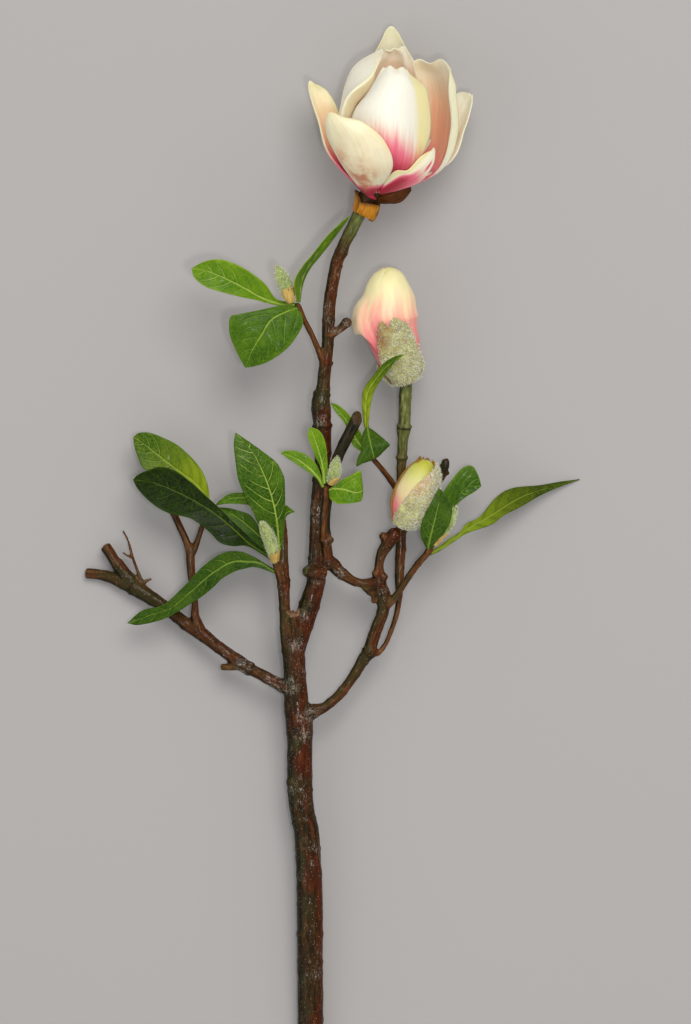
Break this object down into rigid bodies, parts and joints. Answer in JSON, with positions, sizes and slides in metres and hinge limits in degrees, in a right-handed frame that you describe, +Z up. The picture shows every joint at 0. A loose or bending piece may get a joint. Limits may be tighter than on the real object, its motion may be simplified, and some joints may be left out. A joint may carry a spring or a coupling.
{
  "type": "saucer magnolia branch",
  "caption": "Cut branch of a saucer magnolia with an open bloom, pink buds, furry leaf buds and green leaves, lying on its back.",
  "frame": {"origin": "on the surface the branch lies on, under the middle of its outer box", "axes": "+Y along the branch from the cut end to the open bloom, +X to the branch's right as seen from above, +Z up"},
  "size_m": [0.2722, 0.57, 0.0842],
  "materials": {
    "bark": "satin, dark red-brown with pale flecks",
    "leaf": "satin, pale raised veins",
    "dark_leaf": "satin, dark green",
    "young_leaf": "satin, fresh yellow-green",
    "tepal": "waxy, cream with a pink foot",
    "bud_tepal": "waxy, pale yellow to pink",
    "fur": "grey-green with short silver hairs",
    "ochre_bract": "satin, ochre",
    "brown_bract": "satin, dark brown"
  },
  "bodies": {
    "root": {"branch_wood": "bark", "leaf_upper_left_outer": "leaf", "leaf_upper_left_broad": "leaf", "leaf_upper_left_edge": "leaf", "leaf_left_upright": "dark_leaf", "leaf_left_dark": "dark_leaf", "leaf_left_wavy": "dark_leaf", "leaf_left_back": "young_leaf", "leaf_left_hidden": "dark_leaf", "leaf_left_arched": "leaf", "leaf_left_short": "leaf", "leaf_centre_upright": "young_leaf", "leaf_centre_left": "young_leaf", "leaf_centre_right": "young_leaf", "leaf_right_tall": "young_leaf", "leaf_right_folded": "dark_leaf", "leaf_right_back": "young_leaf", "leaf_far_right_upright": "dark_leaf", "leaf_far_right_behind": "leaf", "leaf_far_right_long": "young_leaf", "bloom_tepals": "tepal", "bloom_cup_bract": "ochre_bract", "bloom_brown_bract": "brown_bract", "pink_bud_tepals": "bud_tepal", "pink_bud_scales": "fur", "small_bud_tepals": "bud_tepal", "small_bud_scale": "fur", "leaf_bud_upper_left": "fur", "leaf_bud_left": "fur", "leaf_bud_centre": "fur", "leaf_bud_right": "fur"}
  },
  "joints": []
}
